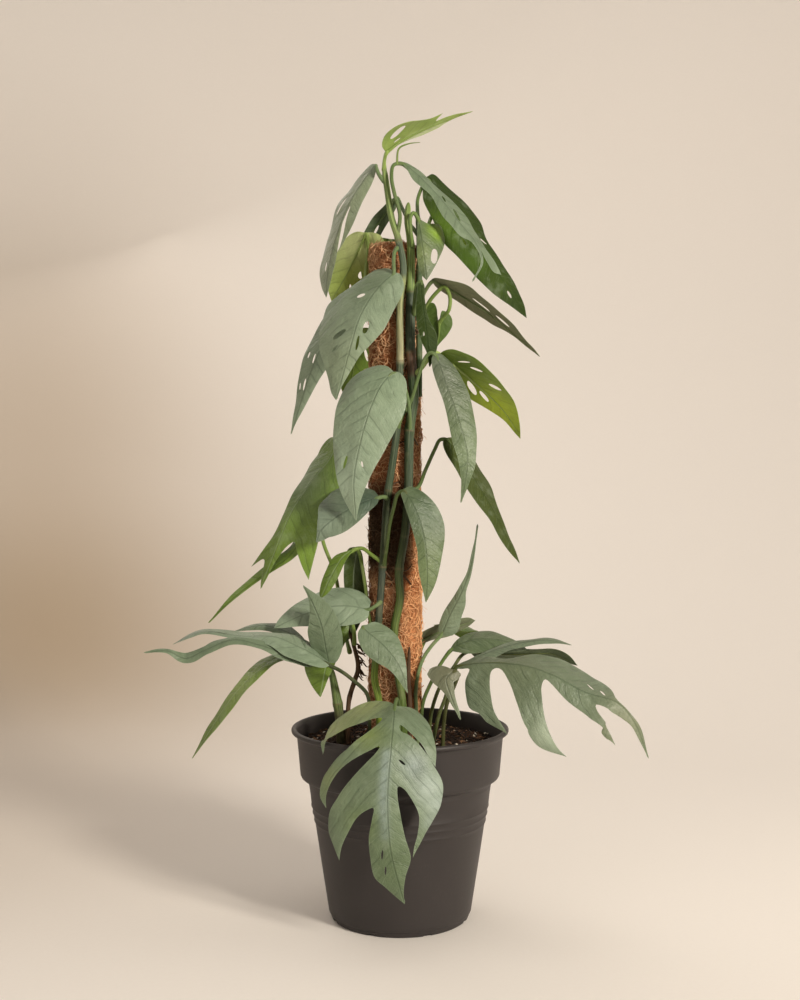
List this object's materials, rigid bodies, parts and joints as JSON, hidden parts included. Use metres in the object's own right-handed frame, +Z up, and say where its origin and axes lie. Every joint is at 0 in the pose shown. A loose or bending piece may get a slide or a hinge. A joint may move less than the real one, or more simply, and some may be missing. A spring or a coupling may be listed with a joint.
{
  "type": "potted climbing plant",
  "caption": "Cebu blue pothos climbing a coir pole in a plain dark nursery pot, silvery blue-green leaves, some split into long lobes.",
  "frame": {"origin": "centre of the pot's flat underside, on the surface the pot stands on", "axes": "+Z up along the pole, -Y towards the side the picture shows, +X to the right of that side"},
  "size_m": [0.4653, 0.2512, 0.7693],
  "materials": {
    "pot_plastic": "satin",
    "potting_soil": "matte",
    "coir": "matte",
    "stake_wood": "matte",
    "stem_green": "satin",
    "stem_brown": "matte",
    "leaf_grey_green": "satin",
    "leaf_bright_green": "satin",
    "leaf_dark_green": "satin"
  },
  "bodies": {
    "root": {"pot": "pot_plastic", "soil": "potting_soil", "pole_coir": "coir", "pole_core": "stake_wood", "vine_left": "stem_green", "vine_right": "stem_green", "vine_rear": "stem_green", "vine_back": "stem_green", "shoot_left": "stem_green", "old_stem": "stem_brown", "root_right": "stem_brown", "leaf_top": "leaf_bright_green", "leaf_upper_left": "leaf_grey_green", "leaf_cupped": "leaf_bright_green", "leaf_behind_cupped": "leaf_dark_green", "leaf_upper_right": "leaf_grey_green", "leaf_dark_right": "leaf_bright_green", "leaf_folded": "leaf_grey_green", "leaf_right_reach": "leaf_dark_green", "leaf_hanging_dark": "leaf_dark_green", "leaf_heart": "leaf_bright_green", "leaf_grey_left": "leaf_grey_green", "leaf_grey_left_back": "leaf_grey_green", "leaf_pale_left": "leaf_grey_green", "leaf_pale_right": "leaf_grey_green", "leaf_bright_right": "leaf_bright_green", "leaf_lobed_left": "leaf_bright_green", "leaf_blue_left": "leaf_grey_green", "leaf_pale_right_low": "leaf_grey_green", "leaf_olive_right": "leaf_dark_green", "leaf_upright": "leaf_grey_green", "leaf_shade_right": "leaf_dark_green", "leaf_low_left": "leaf_grey_green", "leaf_blue_low": "leaf_grey_green", "leaf_slim_left": "leaf_bright_green", "leaf_bright_low": "leaf_bright_green", "leaf_mid_left": "leaf_bright_green", "leaf_mid_left_tall": "leaf_bright_green", "leaf_front_small": "leaf_grey_green", "leaf_front_lobed": "leaf_grey_green", "leaf_right_lobed": "leaf_grey_green", "leaf_arched_right": "leaf_grey_green", "leaf_brown_right": "leaf_dark_green", "leaf_right_small": "leaf_grey_green", "leaf_back_top": "leaf_bright_green", "leaf_back_upper": "leaf_bright_green", "leaf_back_left": "leaf_bright_green", "leaf_back_mid": "leaf_bright_green", "leaf_back_right": "leaf_bright_green", "leaf_back_left_mid": "leaf_bright_green", "leaf_back_low": "leaf_bright_green", "leaf_back_right_low": "leaf_bright_green"}
  },
  "joints": []
}
